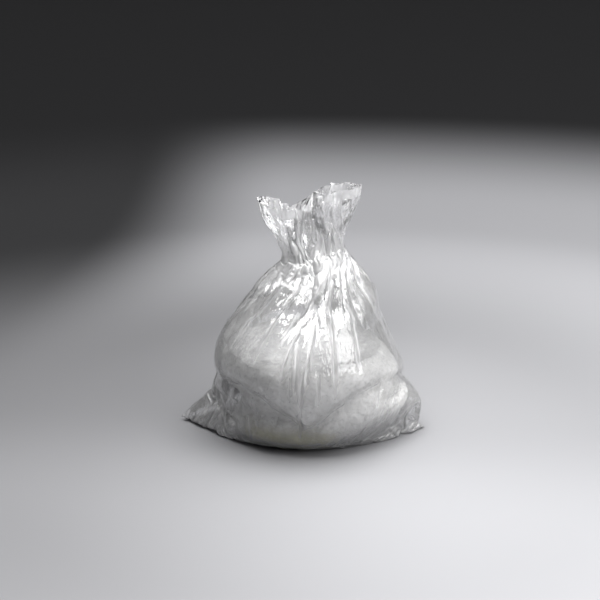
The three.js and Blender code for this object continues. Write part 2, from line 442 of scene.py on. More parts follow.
    def radius(self, wall: Wall, angle: np.ndarray, height: np.ndarray) -> np.ndarray:
        """Radius of a table, blended between its four nearest entries.

        Args:
            wall: Which table.
            angle: Angles about the middle line, from -pi to pi.
            height: Heights in metres.

        Returns:
            Radius in metres.
        """
        table = self.tables[wall]
        row = np.clip(height / self.heights[-1] * (self.levels - 1), 0, self.levels - 1.001)
        column = (angle + np.pi) / TURN * self.angles
        low = row.astype(np.int32)
        left = np.floor(column).astype(np.int32)
        up = row - low
        on = column - left
        left %= self.angles
        right = (left + 1) % self.angles
        lower = table[low, left] * (1 - on) + table[low, right] * on
        upper = table[low + 1, left] * (1 - on) + table[low + 1, right] * on
        return lower * (1 - up) + upper * up

    def middle_at(self, height: np.ndarray) -> np.ndarray:
        """x of the middle line at a height."""
        return np.interp(height, self.heights, self.middle)


# The film as a grid of points that keep their distances


Pair = Callable[[np.ndarray, np.ndarray, np.ndarray, float], None]

# Share of the way that each pass moves the film to its neck's height, to where the mouth was laid, and
# to its rim's height
NECK_PULL = 0.04
MOUTH_PULL = 0.06
RIM_PULL = 0.15


def pull(a: np.ndarray, b: np.ndarray, rest: np.ndarray, gain: float) -> None:
    """Moves the points of each pair to their rest distance, by gain of the difference."""
    d = b - a
    length = np.sqrt(d[0] * d[0] + d[1] * d[1] + d[2] * d[2]) + 1e-9
    d *= (0.5 * gain) * (1 - rest / length)
    a += d
    b -= d


def spread(a: np.ndarray, b: np.ndarray, least: np.ndarray, gain: float) -> None:
    """Moves the points of each pair apart where they are nearer than least, so that film bends softly."""
    d = b - a
    length = np.sqrt(d[0] * d[0] + d[1] * d[1] + d[2] * d[2]) + 1e-9
    d *= (0.5 * gain) * np.minimum(0, 1 - least / length)
    a += d
    b -= d


def doubled(grid: np.ndarray) -> np.ndarray:
    """A grid with twice the points each way, on cubic curves (-1, 9, 9, -1) / 16 through the old ones.

    Args:
        grid: Values by component, row and column; columns close on themselves.

    Returns:
        The finer grid, with 2 rows - 1 rows and 2 columns.
    """
    between = (np.roll(grid, -1, axis=2) + grid) * 9 / 16
    between -= (np.roll(grid, 1, axis=2) + np.roll(grid, -2, axis=2)) / 16
    wide = np.stack([grid, between], axis=3).reshape(grid.shape[0], grid.shape[1], -1)
    tall = np.empty((grid.shape[0], 2 * grid.shape[1] - 1, wide.shape[2]))
    tall[:, 0::2] = wide
    middle = (wide[:, 1:] + wide[:, :-1]) / 2
    middle[:, 1:-1] = (wide[:, 1:-2] + wide[:, 2:-1]) * 9 / 16 - (wide[:, :-3] + wide[:, 3:]) / 16
    tall[:, 1::2] = middle
    return tall


@dataclass(frozen=True)
class Settling:
    """How one round of settling the film goes.

    Attributes:
        steps: Time steps.
        passes: Passes over all distances in each step.
        push: Outward push of the air inside, metres a step.
        fall: Fall under its own weight, metres a step.
        bend: For each reach in points, the least distance as a share and its gain.
    """

    steps: int
    passes: int
    push: float
    fall: float
    bend: tuple[tuple[int, float, float], ...]


@dataclass
class FilmGrid:
    """The film as points by row, from seam to rim, and column, round the bag.

    Attributes:
        cut: The film's flat tube.
        points: x, y and z by row and column.
        home: Where the film above the neck was laid.
        neck_row: Film length from the seam to the neck, by column.
        neck_height: Height of the neck, by column.
        rim_height: Height of the rim, by column.
        kept: Share of the film's length that fine wrinkles leave, by column.
        corners: Where the seam's left and right ends are held.
    """

    cut: FilmCut
    points: np.ndarray
    home: np.ndarray
    neck_row: np.ndarray
    neck_height: np.ndarray
    rim_height: np.ndarray
    kept: np.ndarray
    corners: tuple[tuple[float, float, float], ...] = ((-0.250, 0.0, 0.006), (0.252, 0.0, 0.005))

    def __post_init__(self) -> None:
        """Sets the rest distances."""
        self.points = self.points.astype(np.float32)
        self.home = self.home.astype(np.float32)
        self.speed = np.zeros_like(self.points)
        _, self.rows, self.columns = self.points.shape
        self.across = self.cut.girth / self.columns
        self.along = (self.cut.length / (self.rows - 1) * self.kept).astype(np.float32)[None, :]
        self.length = np.linspace(0, self.cut.length, self.rows)[:, None]

    def round_pairs(self, step: int, act: Pair, amount: float, gain: float) -> None:
        """Acts on the pairs of points step columns apart, in groups that share no point."""
        x = self.points
        blocks = x.reshape(3, self.rows, self.columns // (2 * step), 2 * step)
        act(blocks[..., :step], blocks[..., step:], amount, gain)
        act(blocks[:, :, :-1, step:], blocks[:, :, 1:, :step], amount, gain)
        act(blocks[:, :, -1, step:], blocks[:, :, 0, :step], amount, gain)

    def upward_pairs(self, step: int, act: Pair, amount: np.ndarray, gain: float) -> None:
        """Acts on the pairs of points step rows apart, in groups that share no point."""
        x = self.points
        for first in range(2 * step):
            low = x[:, first:self.rows - step:2 * step]
            high = x[:, first + step::2 * step]
            both = min(low.shape[1], high.shape[1])
            act(low[:, :both], high[:, :both], amount, gain)

    def cross_pairs(self, gain: float) -> None:
        """Keeps the diagonals at sqrt(across^2 + along^2), which stops the film from shearing."""
        rest = np.sqrt(self.across ** 2 + self.along ** 2)
        x = self.points
        for first in (0, 1):
            low = x[:, first:self.rows - 1:2]
            high = x[:, first + 1::2]
            both = min(low.shape[1], high.shape[1])
            low, high = low[:, :both], high[:, :both]
            pull(low[:, :, :-1], high[:, :, 1:], rest[:, :-1], gain)
            pull(low[:, :, -1:], high[:, :, :1], rest[:, -1:], gain)
            pull(low[:, :, 1:], high[:, :, :-1], rest[:, :-1], gain)
            pull(low[:, :, :1], high[:, :, -1:], rest[:, -1:], gain)

    def close_seam(self) -> None:
        """Joins the front and back of the bottom row, and holds the bag's two corners in place."""
        half = self.columns // 2
        row = self.points[:, 0]
        mean = (row[:, 1:half] + row[:, :half:-1]) / 2
        row[:, 1:half] = mean
        row[:, :half:-1] = mean
        for column, corner in zip((0, half), self.corners):
            row[:, column] += 0.3 * (np.array(corner, dtype=np.float32) - row[:, column])

    def normals(self) -> np.ndarray:
        """Outward unit normal at each point, from the cross product of its two directions."""
        x = self.points
        around = np.roll(x, -1, axis=2) - np.roll(x, 1, axis=2)
        upward = np.gradient(x, axis=1)
        normal = np.cross(around, upward, axis=0)
        return normal / (np.sqrt((normal * normal).sum(0)) + 1e-12)

    def finer(self) -> FilmGrid:
        """The same film with twice the points each way."""
        def more(row: np.ndarray) -> np.ndarray:
            return np.stack([row, (row + np.roll(row, -1)) / 2], axis=1).ravel()
        return FilmGrid(self.cut, doubled(self.points.astype(float)), doubled(self.home.astype(float)),
                        more(self.neck_row), more(self.neck_height), more(self.rim_height), more(self.kept))

    def settle(self, mould: Mould, plan: Settling) -> None:
        """Lets the film find its form between the mould's core and outer wall.

        Each step carries the points on, pushes them outwards and down, and then passes over all the
        distances; the speed is what is left of the move.

        Args:
            mould: The bag's form.
            plan: How long and how strongly.
        """
        gap = self.length - self.neck_row[None, :]
        near_neck = (NECK_PULL * np.exp(-((gap / 0.014) ** 2))).astype(np.float32)
        above = (MOUTH_PULL * ease((gap + 0.04) / 0.07)).astype(np.float32)
        near_rim = (RIM_PULL * np.exp(-(((self.length - self.cut.length) / 0.008) ** 2))).astype(np.float32)
        below = (1 / (1 + np.exp((gap + 0.01) / 0.008))).astype(np.float32)
        for _ in range(plan.steps):
            x = self.points
            before = x.copy()
            x += self.speed * 0.9
            x += self.normals() * (plan.push * (0.5 + 0.5 * below))
            x[2] -= plan.fall * below
            for _ in range(plan.passes):
                self.round_pairs(1, pull, self.across, 0.9)
                self.upward_pairs(1, pull, self.along, 0.9)
                self.cross_pairs(0.45)
                for reach, least, gain in plan.bend:
                    self.round_pairs(reach, spread, self.across * reach * least, gain)
                    self.upward_pairs(reach, spread, self.along * reach * least, gain)
                self.close_seam()
                x += above * (self.home - x)
                x[2] += near_neck * (self.neck_height[None, :] - x[2])
                x[2] += near_rim * (self.rim_height[None, :] - x[2])
                self.touch(mould)
            self.speed = np.clip(x - before, -0.003, 0.003)

    def touch(self, mould: Mould) -> None:
        """Keeps the film on the floor, inside the mould and outside its core."""
        x = self.points
        np.maximum(x[2], 0.0, out=x[2])
        middle = mould.middle_at(x[2])
        aside = x[0] - middle
        reach = np.hypot(aside, x[1]) + 1e-9
        angle = np.arctan2(x[1], aside)
        outer = mould.radius(Wall.OUTER, angle, x[2])
        core = mould.radius(Wall.CORE, angle, x[2])
        inside = reach < core
        under = inside & (x[2] < core - reach) & (x[2] < 0.05)
        x[2][under] *= 0.5
        scale = np.where(inside & ~under, core / reach, np.minimum(1.0, outer / reach))
        x[0] = middle + aside * scale
        x[1] *= scale

    def smooth_out(self, share: float) -> None:
        """Blends each point with the mean of its four neighbours, share of the way."""
        x = self.points
        mean = (np.roll(x, 1, axis=2) + np.roll(x, -1, axis=2)) / 4
        mean[:, 1:-1] += (x[:, 2:] + x[:, :-2]) / 4
        mean[:, 0] += x[:, 0] / 2
        mean[:, -1] += x[:, -1] / 2
        x += share * (mean - x)
        self.close_seam()

    def creasing(self) -> np.ndarray:
        """How sharply the film is bent at each point, from 0 flat to 1 at a hard fold."""
        normal = self.normals()
        turn = 1 - (normal * np.roll(normal, 1, axis=2)).sum(0)
        turn[1:] += 1 - (normal[:, 1:] * normal[:, :-1]).sum(0)
        soft = (turn + np.roll(turn, 1, axis=1) + np.roll(turn, -1, axis=1)) / 3
        return np.clip(soft * 2.2, 0, 1)


@dataclass
class FilmBag:
    """The bag of thin film: laid on the mould in pleats, settled, and made a mesh.

    Attributes:
        cut: The film's flat tube.
        mould: The bag's form.
        finish: The film's finish.
        rows: Points from seam to rim before the grid is made finer.
        columns: Points round the bag before that.
        neck: Height of the neck, how much higher it is on the right than in front, and how far it wanders.
        rim: Share of the girth and height of the rim in millimetres.
        facets: Wavelength in metres, tilt in degrees and strength of each wave of its crumpling.
        floor_steps: Rows of the first lay that run in along the floor.
        body_slack: Film in the body against the way over the mould.
        mouth_slack: Film in the mouth against the way over the mould.
        ladder: Depth, spacing and half width in metres of the cross creases in the front's pleats.
        node: The CAD node that it stands for.
    """

    cut: FilmCut
    mould: Mould
    finish: "FilmFinish"
    rows: int = 111
    columns: int = 192
    neck: tuple[float, float, float] = (0.362, 0.013, 0.007)
    rim: tuple[tuple[float, float], ...] = (
        (0.0, 466), (0.06, 461), (0.12, 455), (0.18, 450), (0.225, 444), (0.262, 448), (0.295, 478),
        (0.33, 487), (0.40, 489), (0.46, 493), (0.50, 496), (0.55, 495), (0.62, 492), (0.68, 484),
        (0.72, 466), (0.75, 470), (0.77, 474), (0.80, 458), (0.84, 442), (0.90, 450), (0.96, 462), (1.0, 466))
    facets: tuple[tuple[float, float, float], ...] = (
        (0.056, 7, 1.0), (0.039, -15, 1.0), (0.027, 26, 0.8), (0.045, -42, 0.8), (0.068, 66, 0.6))
    floor_steps: int = 40
    body_slack: float = 1.01
    mouth_slack: float = 1.03
    ladder: tuple[float, float, float] = (0.0008, 0.010, 0.010)
    node: str = "film_bag"

    def on_ring(self, level: int, share: np.ndarray) -> tuple[np.ndarray, np.ndarray]:
        """x and y of shares of a level's ring."""
        mould = self.mould
        x = np.interp(share, mould.share, mould.x[level], period=1) + mould.middle[level]
        return x, np.interp(share, mould.share, mould.y[level], period=1)

    def lay(self) -> FilmGrid:
        """Lays the film on the mould: in along the floor, up the wall, and folded where the ring is short.

        A pleat's film goes in by depth cos(lean) and sideways by depth sin(lean); the lean grows from the
        shoulder, where pleats stand up, to the mouth, where they lie flat inside the outer layer.

        Returns:
            The film, ready to settle.
        """
        mould = self.mould
        share = np.arange(self.columns) / self.columns
        base_x, base_y = self.on_ring(0, share)
        left, right = mould.left[0], mould.right[0]
        seam_x = left + (right - left) * np.where(share <= 0.5, share * 2, 2 - share * 2)
        floor = [
            np.stack([seam_x * (1 - t) + base_x * t, base_y * t, np.zeros(self.columns)])
            for t in np.arange(self.floor_steps) / self.floor_steps]
        folded, plain = [], []
        for level, height in enumerate(mould.heights):
            z = np.full(self.columns, height)
            on, depth, side = mould.folded(level, share)
            lean = math.radians(58) * float(ease((height - 0.35) / 0.11))
            sideways = side * depth * math.sin(lean) / mould.ring[level]
            x, y = self.on_ring(level, on + sideways)
            inward = depth * math.cos(lean) + 0.004 * (depth > 0.004) * math.sin(lean)
            middle = mould.middle[level]
            scale = np.maximum(0.12, 1 - inward / np.hypot(x - middle, y))
            folded.append(np.stack([middle + (x - middle) * scale, y * scale, z]))
            plain.append(np.stack([*self.on_ring(level, share), z]))
        path = np.stack(floor + folded, axis=1)
        guide = np.stack(floor + plain, axis=1)
        steps = np.sqrt((np.diff(guide, axis=1) ** 2).sum(0))
        run = np.concatenate([np.zeros((1, self.columns)), np.cumsum(steps, axis=0)])
        around = np.stack([np.cos(TURN * share), np.sin(TURN * share), 0 * share]) * 0.19
        neck, tilt, wanders = self.neck
        neck_height = neck - tilt * np.cos(TURN * share) + wanders * Noise(19).smooth(around, 0.045)
        rim = np.array(self.rim)
        rim_height = np.interp(share, rim[:, 0], rim[:, 1]) * MM
        rim_height = np.minimum(rim_height + 0.003 * Noise(43).smooth(around, 0.09), 0.4995)
        wall_run, wall_height = run[self.floor_steps:], mould.heights
        neck_row = np.empty(self.columns)
        kept = np.empty(self.columns)
        points = np.empty((3, self.rows, self.columns))
        rows = np.linspace(0, self.cut.length, self.rows)
        for column in range(self.columns):
            at_neck = np.interp(neck_height[column], wall_height, wall_run[:, column])
            at_rim = np.interp(rim_height[column], wall_height, wall_run[:, column])
            neck_row[column] = self.cut.length - (at_rim - at_neck) * self.mouth_slack
            kept[column] = min(1.0, self.body_slack * at_neck / neck_row[column])
            place = np.interp(rows, [0, neck_row[column], self.cut.length], [0, at_neck, at_rim])
            for axis in range(3):
                points[axis, :, column] = np.interp(place, run[:, column], path[axis, :, column])
        wander = Noise(31)
        rough = np.stack([wander.layered(points + 0.37 * axis, 0.045, 2) for axis in range(3)])
        home = points + 0.005 * rough * ease((points[2] - 0.34) / 0.05)
        return FilmGrid(self.cut, points, home, neck_row, neck_height, rim_height, kept)

    def shaped(self) -> FilmGrid:
        """The film's final form: two rounds of settling, the second on twice the points."""
        film = self.lay()
        uneven = Noise(11)
        hollows = 0.0015 * np.abs(uneven.layered(film.points, 0.05, 2))
        film.points -= film.normals() * hollows.astype(np.float32)
        film.settle(self.mould, Settling(110, 4, 0.00012, 0.00002, ((2, 0.7, 0.4), (4, 0.35, 0.2))))
        film = film.finer()
        film.points += film.normals() * (0.0004 * uneven.smooth(film.points, 0.03)).astype(np.float32)
        film.settle(self.mould, Settling(26, 4, 0.00005, 0.00001, ((2, 0.65, 0.35),)))
        film.smooth_out(0.4)
        self.crumple(film, uneven)
        self.pucker(film)
        return film

    def crumple(self, film: FilmGrid, uneven: Noise) -> None:
        """Presses flat facets with sharp creases into the film.

        They are the sum of triangle waves 4 |p - floor(p) - 1/2| - 1 that run across the film at several
        angles, bent by noise so that no two facets are alike. They are steepest round the mouth.
        """
        across = np.broadcast_to((np.arange(film.columns) * film.across)[None, :], film.points.shape[1:])
        along = np.broadcast_to(film.length, across.shape)
        flat = np.stack([across, along * 0.6, 0 * across])
        lift = np.zeros(across.shape)
        for index, (length, tilt, strong) in enumerate(self.facets):
            turn = math.radians(tilt)
            bent = across * math.cos(turn) + along * math.sin(turn) + 0.4 * length * uneven.smooth(
                flat + 0.31 * index, 0.06)
            phase = bent / length
            patch = ease(0.5 + 0.9 * uneven.smooth(flat + 1.7 + 0.53 * index, 0.075))
            lift += strong * length * patch * (4 * np.abs(phase - np.floor(phase) - 0.5) - 1)
        slope = 0.05 + 0.06 * ease((along - 0.38) / 0.08) + 0.13 * ease((along - 0.57) / 0.05)
        seam = ease(np.minimum(across, np.abs(self.cut.girth - across)) / 0.03)
        lift *= slope / 4 * ease(along / 0.02) * seam * (1 - 0.6 * ease((along - 0.68) / 0.02))
        film.points += film.normals() * lift.astype(np.float32)

    def pucker(self, film: FilmGrid) -> None:
        """Presses a short ladder of cross creases into the front's pleats, below the neck.

        They are depth sin(2 pi z / spacing) deep, and bend a little from side to side.
        """
        depth, spacing, half_width = self.ladder
        x = film.points
        aside = (x[0] - (0.030 - 0.25 * (x[2] - 0.29))) / half_width
        upward = ease((x[2] - 0.285) / 0.012) * (1 - ease((x[2] - 0.335) / 0.012))
        front = ease((-x[1] - 0.03) / 0.02)
        wave = np.sin(TURN * x[2] / spacing + 1.5 * np.sin(x[0] * 160))
        lift = depth * wave * np.exp(-(aside ** 2)) * upward * front
        film.points += film.normals() * lift.astype(np.float32)

    @staticmethod
    def quads(index: np.ndarray) -> np.ndarray:
        """Four corners of each cell of a grid of indices."""
        corners = [index[:-1, :-1], index[:-1, 1:], index[1:, 1:], index[1:, :-1]]
        return np.stack(corners, axis=-1).reshape(-1, 4)

    def joined(self, film: FilmGrid) -> np.ndarray:
        """Index of each grid point, closed round the bag and with the two layers joined in the bottom row."""
        index = np.arange(film.rows * film.columns).reshape(film.rows, film.columns)
        half = film.columns // 2
        index[0, half + 1:] = index[0, half - 1:0:-1]
        return np.concatenate([index, index[:, :1]], axis=1)

    def flat_places(self, film: FilmGrid) -> np.ndarray:
        """Place of each face corner on the flat film, in metres across and along it."""
        wide = film.columns + 1
        corner = self.quads(np.arange(film.rows * wide).reshape(film.rows, wide)).ravel()
        along = corner // wide * self.cut.length / (film.rows - 1)
        return np.stack([corner % wide * film.across, along], axis=1)

    def build(self) -> bpy.types.Object:
        """Makes the film's object, with its finish, flat coordinates and crease values.

        Returns:
            The film, which stands for its CAD node.
        """
        film = self.shaped()
        points = film.points.transpose(1, 2, 0).reshape(-1, 3)
        used, corner = np.unique(self.quads(self.joined(film)), return_inverse=True)
        obj = mesh_object("bag_film", points[used], corner.reshape(-1, 4))
        crease = obj.data.attributes.new("crease", "FLOAT", "POINT")
        crease.data.foreach_set("value", film.creasing().reshape(-1)[used].astype(np.float32))
        flat = obj.data.uv_layers.new(name="flat")
        flat.data.foreach_set("uv", self.flat_places(film).astype(np.float32).ravel())
        obj.data.materials.append(self.finish.material())
        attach(obj, "root")
        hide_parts(self.node)
        return obj


@dataclass
class LooseFilling:
    """The heap of crumpled scraps in the lower part of the bag, as one lumpy skin just inside the film.

    Attributes:
        mould: The bag's form, whose core the heap fills.
        finish: The scraps' finish.
        around: Points round the heap.
        across: Points from the middle of its underside, up its side, to the middle of its top.
        edge: Angle in degrees and height in metres of the heap's top edge.
        dome: Rise of its top above that.
        lump: Depth of the hollows between its scraps.
        gap: Clearance between the heap and the mould's core.
        rounding: Rounding of its lower and upper edge.
        base: Height of its underside.
        scraps: Sizes of its large and small scraps.
        node: The CAD node that it stands for.
    """

    mould: Mould
    finish: "FillingFinish"
    around: int = 440
    across: int = 190
    edge: tuple[tuple[float, float], ...] = (
        (-180, 0.178), (-140, 0.177), (-105, 0.172), (-85, 0.175), (-60, 0.178), (-20, 0.176), (30, 0.175),
        (90, 0.178), (140, 0.175), (180, 0.178))
    dome: float = 0.008
    lump: float = 0.009
    gap: float = 0.0015
    rounding: float = 0.014
    base: float = 0.004
    scraps: tuple[float, float] = (0.026, 0.012)
    node: str = "loose_filling"

    def hollow(self, points: np.ndarray) -> np.ndarray:
        """Depth of the hollows between scraps, lump (3 - cos X - cos Y - cos Z) / 6.

        X is x / 11 mm + 1.2 sin(z / 29 mm), and Y and Z go on the same way round.
        """
        x, y, z = points
        waves = (np.cos(x / 0.011 + 1.2 * np.sin(z / 0.029)) + np.cos(y / 0.011 + 1.2 * np.sin(x / 0.033))
                 + np.cos(z / 0.011 + 1.2 * np.sin(y / 0.031)))
        return self.lump * (3 - waves) / 6

    def skin(self) -> np.ndarray:
        """The heap's skin.

        Its profile goes out along the underside, up the core's radius, and back in over a low dome. Hollows
        are pressed in between the scraps, and creases where two of them meet, which is where the distances to
        the nearest two points of a noise in cells of the scraps' size are alike.

        Returns:
            x, y and z by row and column.
        """
        angle = np.linspace(-np.pi, np.pi, self.around, endpoint=False)[None, :]
        edge = np.array(self.edge)
        top = np.interp(np.degrees(angle), edge[:, 0], edge[:, 1])
        t = np.linspace(0, 1, self.across)[:, None]
        under, side = 0.22, 0.62
        out = np.clip(t / under, 0, 1)
        up = np.clip((t - under) / (side - under), 0, 1)
        inward = np.clip((t - side) / (1 - side), 0, 1)
        height = self.base + (top - self.base) * up + self.dome * ease(inward * 3)
        reach = self.mould.radius(Wall.CORE, np.broadcast_to(angle, height.shape), height) - self.gap
        rounded = self.rounding * ((1 - ease(up * 6)) + ease((up - 0.86) / 0.14))
        reach = (reach - rounded) * out * (1 - inward)
        middle = self.mould.middle_at(np.where(t > side, top, height))
        points = np.stack([middle + reach * np.cos(angle), reach * np.sin(angle), height])
        noise = Noise(23)
        nearest, second = noise.cells(points, self.scraps[0])
        fine, fine_second = noise.cells(points + 1.7, self.scraps[1])
        hollow = self.hollow(points) + 0.0045 * np.clip(nearest, 0, 1) ** 2 + 0.0025 * np.clip(fine, 0, 1)
        hollow += 0.0025 * np.clip(1 - (second - nearest) * 5, 0, 1)
        hollow += 0.0008 * np.clip(1 - (fine_second - fine) * 5, 0, 1)
        hollow *= ease((height - 0.012) / 0.022)
        over = ease(inward * 3) * np.pi / 2
        reach = np.maximum(reach - hollow * np.cos(over), 0)
        height = height - (hollow - 0.003) * np.sin(over)
        return np.stack([middle + reach * np.cos(angle), reach * np.sin(angle), np.maximum(height, 0.0035)])

    def build(self) -> bpy.types.Object:
        """Makes the heap's object with its finish.

        Returns:
            The heap, which stands for its CAD node.
        """
        skin = self.skin()
        ring = skin[:, 1:-1].transpose(1, 2, 0).reshape(-1, 3)
        ends = np.stack([skin[:, 0].mean(axis=1), skin[:, -1].mean(axis=1)])
        points = np.concatenate([ring, ends])
        rows = self.across - 2
        index = np.arange(rows * self.around).reshape(rows, self.around)
        right = np.roll(index, -1, axis=1)
        quads = np.stack([index[:-1], right[:-1], right[1:], index[1:]], axis=-1).reshape(-1, 4)
        bottom = np.full(self.around, len(ring))
        low = np.stack([right[0], index[0], bottom], axis=1)
        high = np.stack([index[-1], right[-1], bottom + 1], axis=1)
        obj = mesh_object("scrap_heap", points, quads, np.concatenate([low, high]))
        obj.data.materials.append(self.finish.material())
        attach(obj, "root")
        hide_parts(self.node)
        return obj


def mesh_object(name: str, points: np.ndarray, quads: np.ndarray,
                triangles: np.ndarray | None = None) -> bpy.types.Object:
    """Makes a smooth-shaded object from arrays.

    Args:
        name: Name of the object and its mesh.
        points: Places, one row each.
        quads: Corners of the four-sided faces.
        triangles: Corners of the three-sided faces, if there are any.

    Returns:
        The object, linked to the scene, with its origin at the frame's.
    """
    faces = quads.tolist() + ([] if triangles is None else triangles.tolist())
    mesh = bpy.data.meshes.new(name)
    mesh.from_pydata(points.astype(float).tolist(), [], faces)
    mesh.update()
    mesh.shade_smooth()
    obj = bpy.data.objects.new(name, mesh)
    bpy.context.scene.collection.objects.link(obj)
    return obj


# Finishes


@dataclass(frozen=True)
class Value:
    """A number socket that takes part in arithmetic by adding Math nodes."""

    graph: "Graph"
    socket: bpy.types.NodeSocket

    def __add__(self, other: "Value | float") -> "Value":
        """Sum."""
        return self.graph.math("ADD", self, other)

    __radd__ = __add__

    def __sub__(self, other: "Value | float") -> "Value":
        """Difference."""
        return self.graph.math("SUBTRACT", self, other)

    def __rsub__(self, other: float) -> "Value":
        """Difference from a number."""
        return self.graph.math("SUBTRACT", other, self)

    def __mul__(self, other: "Value | float") -> "Value":
        """Product."""
        return self.graph.math("MULTIPLY", self, other)

    __rmul__ = __mul__

    def __pow__(self, other: float) -> "Value":
        """Power."""
        return self.graph.math("POWER", self, other)

    def held(self) -> "Value":
        """The value held between 0 and 1."""
        return self.graph.math("ADD", self, 0.0, use_clamp=True)

    def between(self, low: float, high: float) -> "Value":
        """Smooth step of the value from low to high, as 0 to 1."""
        node = self.graph.node("ShaderNodeMapRange", {"interpolation_type": "SMOOTHSTEP"}, {
            "Value": self, "From Min": low, "From Max": high})
        return Value(self.graph, node.outputs["Result"])


Colour = tuple[float, float, float]


class Graph:
    """A material's node tree and the few ways in which nodes are added to it."""

    def __init__(self, name: str) -> None:
        """Starts an empty material."""
        self.material = bpy.data.materials.new(name)
        self.material.use_nodes = True
        self.tree = self.material.node_tree
        self.tree.nodes.clear()

    def node(self, kind: str, settings: dict[str, object], inputs: dict[str | int, object]) -> bpy.types.Node:
        """Adds a node.

        Args:
            kind: Blender's type of the node.
            settings: Properties that are set first.
            inputs: Sockets by name or number, each a value, a Value or a socket.

        Returns:
            The node.
        """
        node = self.tree.nodes.new(kind)
        for name, value in settings.items():
            setattr(node, name, value)
        for name, value in inputs.items():
            socket = node.inputs[name]
            if isinstance(value, Value):
                value = value.socket
            if isinstance(value, bpy.types.NodeSocket):
                self.tree.links.new(value, socket)
            else:
                socket.default_value = value
        return node

    def math(self, operation: str, a: "Value | float", b: "Value | float", use_clamp: bool = False) -> Value:
        """Adds a Math node on two values."""
        node = self.node("ShaderNodeMath", {"operation": operation, "use_clamp": use_clamp}, {0: a, 1: b})
        return Value(self, node.outputs[0])

    def mix(self, share: "Value | float", a: object, b: object) -> bpy.types.NodeSocket:
        """Colour between a and b."""
        pair = [(*colour, 1) if isinstance(colour, tuple) else colour for colour in (a, b)]
        node = self.node("ShaderNodeMix", {"data_type": "RGBA"}, {0: share, 6: pair[0], 7: pair[1]})
        return node.outputs[2]

    def mix_shader(self, share: "Value | float", a: bpy.types.Node, b: bpy.types.Node) -> bpy.types.Node:
        """Shader between a and b."""
        return self.node("ShaderNodeMixShader", {}, {0: share, 1: a.outputs[0], 2: b.outputs[0]})

    def place(self, source: bpy.types.NodeSocket, scale: Sequence[float]) -> bpy.types.NodeSocket:
        """Coordinates scaled by a Mapping node."""
        return self.node("ShaderNodeMapping", {}, {"Vector": source, "Scale": scale}).outputs[0]

    def noise(self, where: bpy.types.NodeSocket, scale: float, detail: float = 2.0,
              roughness: float = 0.5) -> Value:
        """Noise texture as a value of 0 to 1."""
        node = self.node("ShaderNodeTexNoise", {}, {
            "Vector": where, "Scale": scale, "Detail": detail, "Roughness": roughness})
        return Value(self, node.outputs["Fac"])

    def ridges(self, where: bpy.types.NodeSocket, scale: float) -> Value:
        """Noise folded at its middle, |2 n - 1|, which has sharp valleys."""
        return self.math("ABSOLUTE", self.noise(where, scale) * 2.0 - 1.0, 0.0)

    def cells(self, where: bpy.types.NodeSocket, scale: float) -> Value:
        """Distance to the nearest point of a Voronoi texture."""
        node = self.node("ShaderNodeTexVoronoi", {}, {"Vector": where, "Scale": scale})
        return Value(self, node.outputs["Distance"])

    def flat(self, name: str) -> bpy.types.NodeSocket:
        """The piece's own UV map."""
        return self.node("ShaderNodeUVMap", {"uv_map": name}, {}).outputs[0]

    def attribute(self, name: str) -> Value:
        """The piece's own value of that name."""
        return Value(self, self.node("ShaderNodeAttribute", {"attribute_name": name}, {}).outputs["Fac"])

    def own(self) -> bpy.types.NodeSocket:
        """Object coordinates."""
        return self.node("ShaderNodeTexCoord", {}, {}).outputs["Object"]

    def axis(self, source: bpy.types.NodeSocket, name: str) -> Value:
        """One coordinate of a vector."""
        return Value(self, self.node("ShaderNodeSeparateXYZ", {}, {0: source}).outputs[name])

    def bump(self, height: Value, strength: float, distance: float) -> bpy.types.NodeSocket:
        """Bump from a height in units of distance."""
        node = self.node("ShaderNodeBump", {}, {"Strength": strength, "Distance": distance, "Height": height})
        return node.outputs[0]

    def finished(self, shader: bpy.types.Node) -> bpy.types.Material:
        """The material, with the shader as its surface."""
        self.node("ShaderNodeOutputMaterial", {}, {"Surface": shader.outputs[0]})
        return self.material


